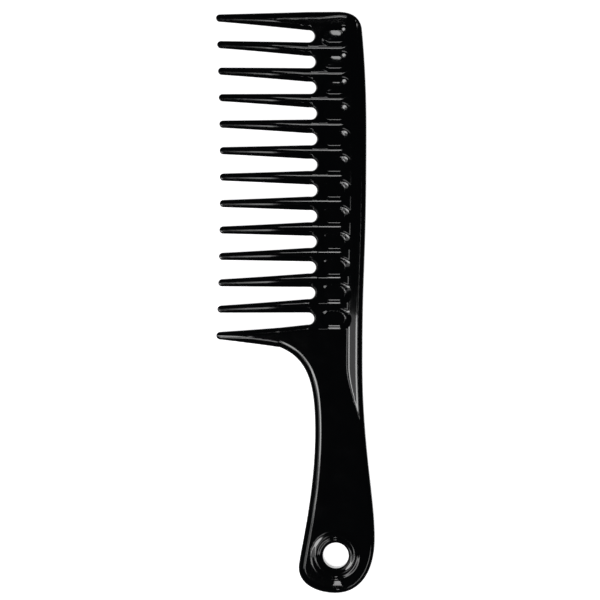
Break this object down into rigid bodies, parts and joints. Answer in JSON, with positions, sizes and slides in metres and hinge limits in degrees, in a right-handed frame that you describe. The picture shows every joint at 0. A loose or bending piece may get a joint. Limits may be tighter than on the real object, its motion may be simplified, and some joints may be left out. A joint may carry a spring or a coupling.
{
  "type": "wide tooth comb",
  "caption": "Wide tooth handle comb in black moulded plastic, with tapering rounded teeth, pocketed back and a hanging eye in the handle.",
  "frame": {"origin": "below the middle of the bounding box, on the surface the comb lies on", "axes": "+Z is the comb's thickness, +Y runs along its length from the handle's end to the first tooth, and the teeth point to -X"},
  "size_m": [0.0658, 0.2398, 0.0085],
  "materials": {
    "black_plastic": "high gloss black moulded plastic"
  },
  "bodies": {
    "root": {"tooth_01": "black_plastic", "tooth_02": "black_plastic", "tooth_03": "black_plastic", "tooth_04": "black_plastic", "tooth_05": "black_plastic", "tooth_06": "black_plastic", "tooth_07": "black_plastic", "tooth_08": "black_plastic", "tooth_09": "black_plastic", "tooth_10": "black_plastic", "tooth_11": "black_plastic", "tooth_12": "black_plastic", "tooth_13": "black_plastic", "spine": "black_plastic", "handle": "black_plastic", "hang_eye": "black_plastic"}
  },
  "joints": []
}
